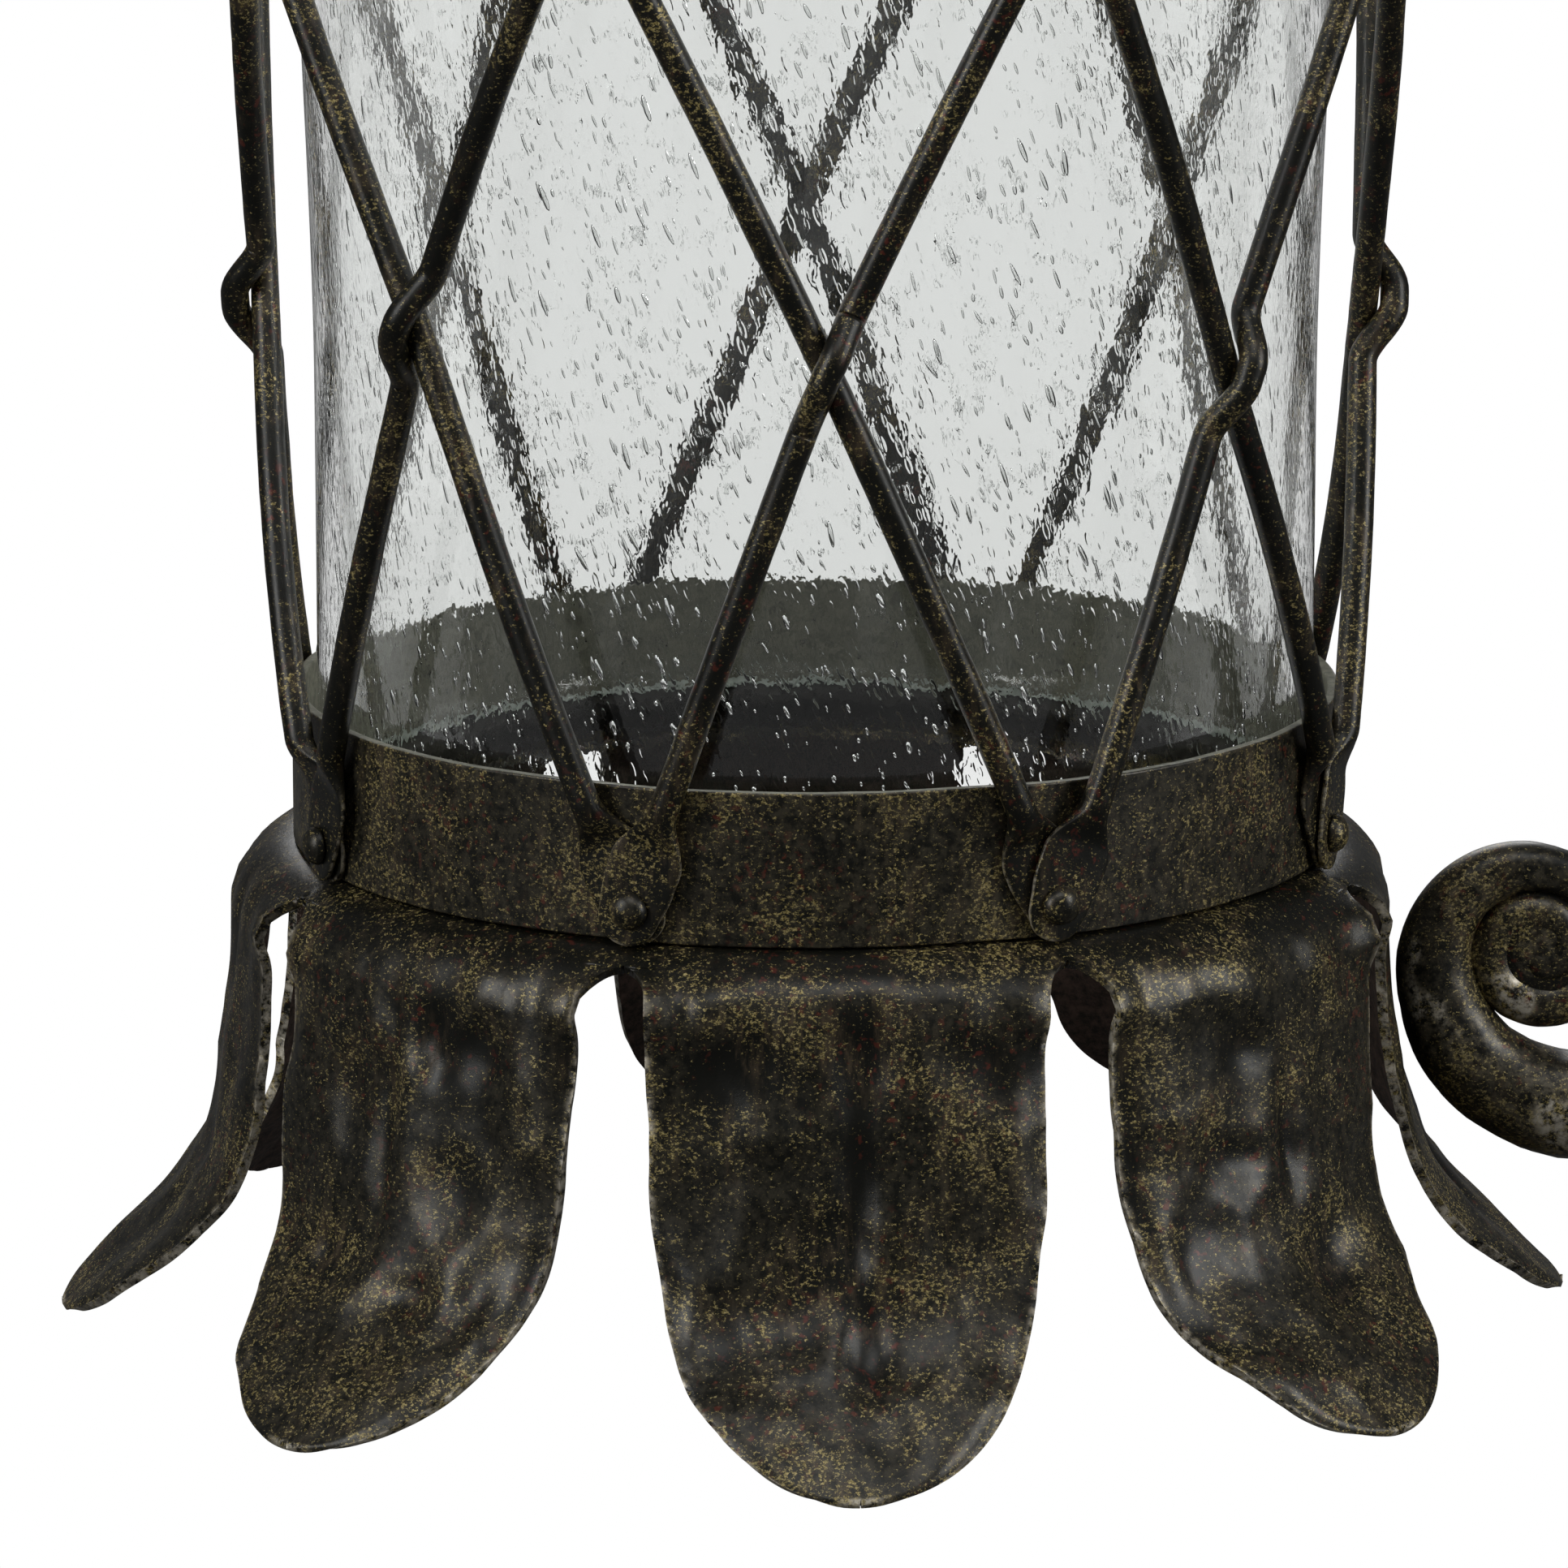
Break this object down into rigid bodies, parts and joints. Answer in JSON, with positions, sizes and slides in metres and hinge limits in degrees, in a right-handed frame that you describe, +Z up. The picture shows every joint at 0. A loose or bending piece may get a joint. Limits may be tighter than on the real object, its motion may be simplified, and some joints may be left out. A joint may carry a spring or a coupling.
{
  "type": "wall-mounted outdoor oil torch",
  "caption": "Outdoor oil torch: seeded glass chimney in a cage of riveted crossing iron bars with a skirt of petals, on a C-scroll wall bracket.",
  "frame": {"origin": "centre of the wall plate's back face, on the wall", "axes": "+X into the wall, +Z up, so the torch stands on the -X side"},
  "size_m": [0.4692, 0.3364, 0.6377],
  "materials": {
    "aged_iron": "dark bronze-brown wrought iron with gold and rust-red speckled rub-through and lighter worn edges",
    "seeded_glass": "clear rippled glass with slanted elongated seed bubbles",
    "canister_steel": "satin black painted steel",
    "burner_brass": "dull aged brass",
    "glass_fibre_wick": "woven glass fibre, charred at the tip"
  },
  "bodies": {
    "torch": {"wall_plate": "aged_iron", "stem_rivet_1": "aged_iron", "stem_rivet_2": "aged_iron", "scroll_bracket": "aged_iron", "bracket_saddle": "aged_iron", "saddle_bolt_1": "aged_iron", "saddle_bolt_2": "aged_iron", "saddle_nut_1": "aged_iron", "saddle_nut_2": "aged_iron", "lower_band": "aged_iron", "top_band": "aged_iron", "glass_seat_ring": "aged_iron", "petal_skirt": "aged_iron", "glass_chimney": "seeded_glass", "bar_under_1": "aged_iron", "bar_under_2": "aged_iron", "bar_under_3": "aged_iron", "bar_under_4": "aged_iron", "bar_under_5": "aged_iron", "bar_under_6": "aged_iron", "bar_under_7": "aged_iron", "bar_under_8": "aged_iron", "bar_over_1": "aged_iron", "bar_over_2": "aged_iron", "bar_over_3": "aged_iron", "bar_over_4": "aged_iron", "bar_over_5": "aged_iron", "bar_over_6": "aged_iron", "bar_over_7": "aged_iron", "bar_over_8": "aged_iron", "lower_rivet_1": "aged_iron", "lower_rivet_2": "aged_iron", "lower_rivet_3": "aged_iron", "lower_rivet_4": "aged_iron", "lower_rivet_5": "aged_iron", "lower_rivet_6": "aged_iron", "lower_rivet_7": "aged_iron", "lower_rivet_8": "aged_iron", "upper_rivet_1": "aged_iron", "upper_rivet_2": "aged_iron", "upper_rivet_3": "aged_iron", "upper_rivet_4": "aged_iron", "upper_rivet_5": "aged_iron", "upper_rivet_6": "aged_iron", "upper_rivet_7": "aged_iron", "upper_rivet_8": "aged_iron"},
    "top_plate": {"top_plate": "aged_iron"},
    "canister": {"oil_canister": "canister_steel"},
    "burner": {"burner_cap": "burner_brass", "wick": "glass_fibre_wick", "snuffer_pin": "burner_brass"},
    "snuffer": {"snuffer_cap": "canister_steel"}
  },
  "joints": [
    {"name": "top_plate_lift", "type": "slide", "parent": "torch", "child": "top_plate", "axis": [0, 0, 1], "range_m": [0, 0.03]},
    {"name": "canister_lift", "type": "slide", "parent": "top_plate", "child": "canister", "axis": [0, 0, 1], "range_m": [0, 0.12]},
    {"name": "burner_lift", "type": "slide", "parent": "canister", "child": "burner", "axis": [0, 0, 1], "range_m": [0, 0.04]},
    {"name": "snuffer_hinge", "type": "hinge", "parent": "burner", "child": "snuffer", "pos_m": [-0.277, 0, 0.2938], "axis": [0, 1, 0], "range_deg": [0, 105]}
  ]
}
